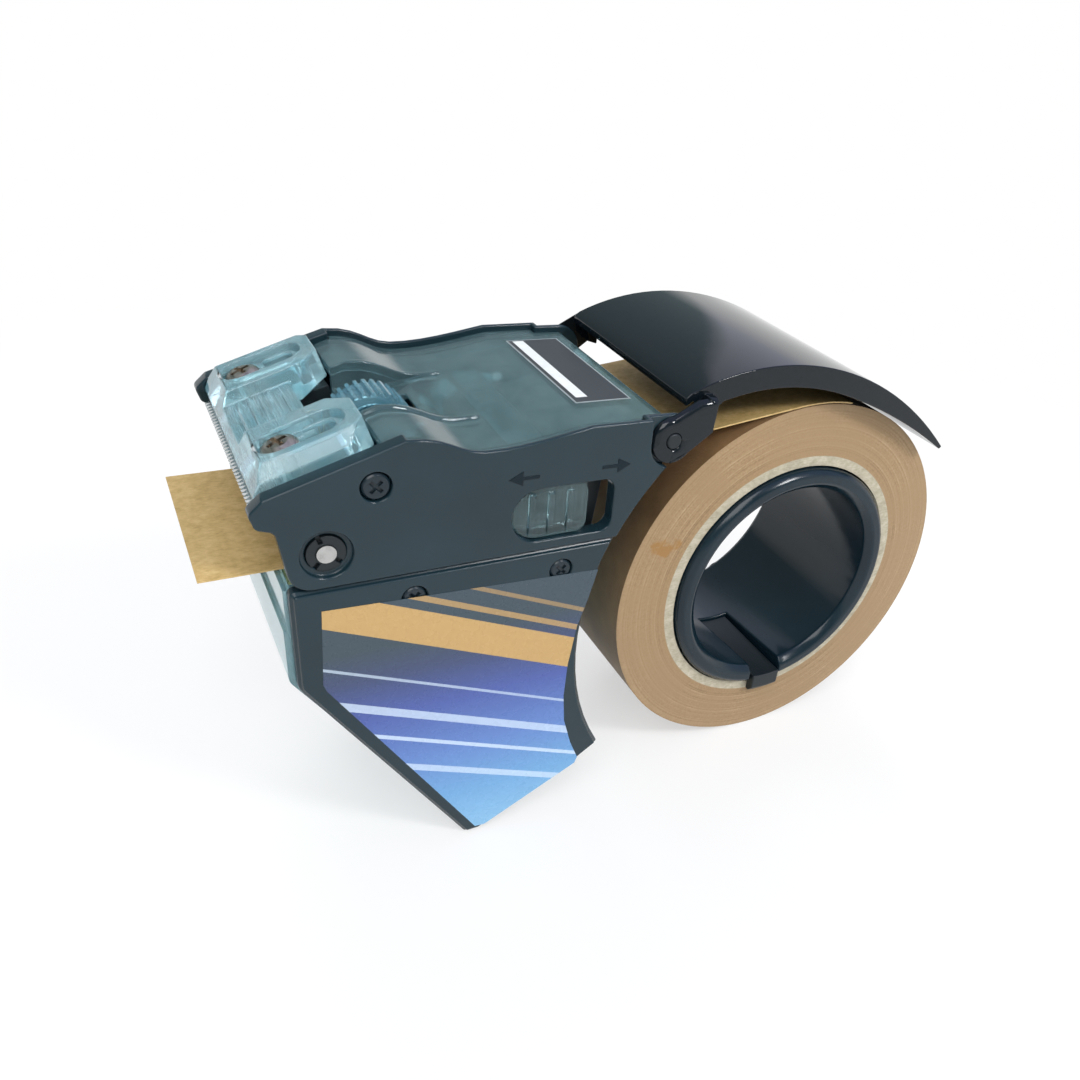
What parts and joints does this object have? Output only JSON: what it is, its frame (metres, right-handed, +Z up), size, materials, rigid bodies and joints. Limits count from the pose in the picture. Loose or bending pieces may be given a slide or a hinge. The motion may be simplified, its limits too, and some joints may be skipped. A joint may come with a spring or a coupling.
{
  "type": "gummed tape dispenser",
  "caption": "Hand dispenser for gummed paper tape: roll on an open hub under a hinged fender, feed wheel, tilted cutter, and a water tank with a wetting roller.",
  "frame": {"origin": "middle of the length and width, on the surface it stands on", "axes": "+X from the tape's tongue back to the roll, +Y across the tape from the near side to the far side, +Z up"},
  "size_m": [0.2171, 0.0702, 0.1283],
  "materials": {
    "body_plastic": "fine moulded satin, near black",
    "inner_plastic": "plain moulded, near black",
    "hub_plastic": "moulded satin, near black",
    "fender_plastic": "glossy moulded black",
    "blue_clear_plastic": "clear light blue moulding",
    "smoke_clear_plastic": "clear smoke blue moulding",
    "kraft_paper": "brown kraft paper, dry gum inside",
    "core_board": "pale paper board",
    "roller_rubber": "matt black rubber",
    "wetting_foam": "open cell foam",
    "axle_steel": "drawn steel rod",
    "blade_steel": "stamped sheet steel",
    "screw_steel": "dull nickel screws",
    "black_screw_steel": "black coated screws"
  },
  "bodies": {
    "frame": {"side_plate_near": "body_plastic", "side_plate_far": "body_plastic", "roll_hub": "hub_plastic", "hub_screws": "screw_steel", "tape_strip": "kraft_paper", "top_cover": "smoke_clear_plastic", "wheel_shaft": "axle_steel", "wheel_spacers": "body_plastic", "pinch_axle": "axle_steel", "front_axle": "axle_steel", "axle_bushes": "inner_plastic", "cutter_bridge": "inner_plastic", "cutter_head": "blue_clear_plastic", "blade": "blade_steel", "cutter_screws": "screw_steel", "side_screws": "black_screw_steel", "tape_deck": "inner_plastic", "tie_rod": "axle_steel", "fender_pins": "inner_plastic"},
    "tape_roll": {"roll_core": "core_board", "paper_roll": "kraft_paper"},
    "roll_catch": {"roll_catch": "inner_plastic"},
    "thumb_wheel": {"thumb_wheel": "blue_clear_plastic"},
    "pinch_roller": {"pinch_roller": "roller_rubber"},
    "front_roller": {"front_roller": "roller_rubber"},
    "lock_slider": {"lock_slider": "blue_clear_plastic"},
    "fender": {"fender": "fender_plastic"},
    "tank": {"water_tank": "blue_clear_plastic", "tank_lid": "body_plastic", "tank_side_near": "body_plastic", "tank_side_far": "body_plastic", "tank_screws": "black_screw_steel", "wetting_axle": "axle_steel"},
    "wetting_roller": {"wetting_roller": "wetting_foam"}
  },
  "joints": [
    {"name": "thumb_wheel_turn", "type": "hinge", "parent": "frame", "child": "thumb_wheel", "pos_m": [-0.06445, 0, 0.1089], "axis": [0, 1, 0], "continuous": true},
    {"name": "pinch_roller_turn", "type": "hinge", "parent": "frame", "child": "pinch_roller", "pos_m": [-0.06445, 0, 0.0935], "axis": [0, 1, 0], "continuous": true},
    {"name": "front_roller_turn", "type": "hinge", "parent": "frame", "child": "front_roller", "pos_m": [-0.08375, 0, 0.0975], "axis": [0, 1, 0], "continuous": true},
    {"name": "wetting_roller_turn", "type": "hinge", "parent": "tank", "child": "wetting_roller", "pos_m": [-0.08375, 0, 0.0829], "axis": [0, 1, 0], "continuous": true},
    {"name": "tape_roll_turn", "type": "hinge", "parent": "frame", "child": "tape_roll", "pos_m": [0.0519, 0, 0.05665], "axis": [0, 1, 0], "continuous": true},
    {"name": "fender_hinge", "type": "hinge", "parent": "frame", "child": "fender", "pos_m": [-0.00075, 0, 0.1132], "axis": [0, -1, 0], "range_deg": [0, 70]},
    {"name": "roll_catch_flex", "type": "hinge", "parent": "frame", "child": "roll_catch", "pos_m": [0.0519, 0.004, 0.02085], "axis": [-1, 0, 0], "range_deg": [0, 6.5], "stiffness_Nm_per_rad": 0.6},
    {"name": "lock_slide", "type": "slide", "parent": "frame", "child": "lock_slider", "axis": [1, 0, 0], "range_m": [0, 0.006]},
    {"name": "tank_slide", "type": "slide", "parent": "frame", "child": "tank", "axis": [0, 0, 1], "range_m": [-0.025, 0]}
  ],
  "couplings": [
    {"joint": "thumb_wheel_turn", "follows": "tape_roll_turn", "ratio": -5.3952},
    {"joint": "pinch_roller_turn", "follows": "tape_roll_turn", "ratio": 14.162},
    {"joint": "front_roller_turn", "follows": "tape_roll_turn", "ratio": -7.8681},
    {"joint": "wetting_roller_turn", "follows": "tape_roll_turn", "ratio": 8.7154}
  ]
}
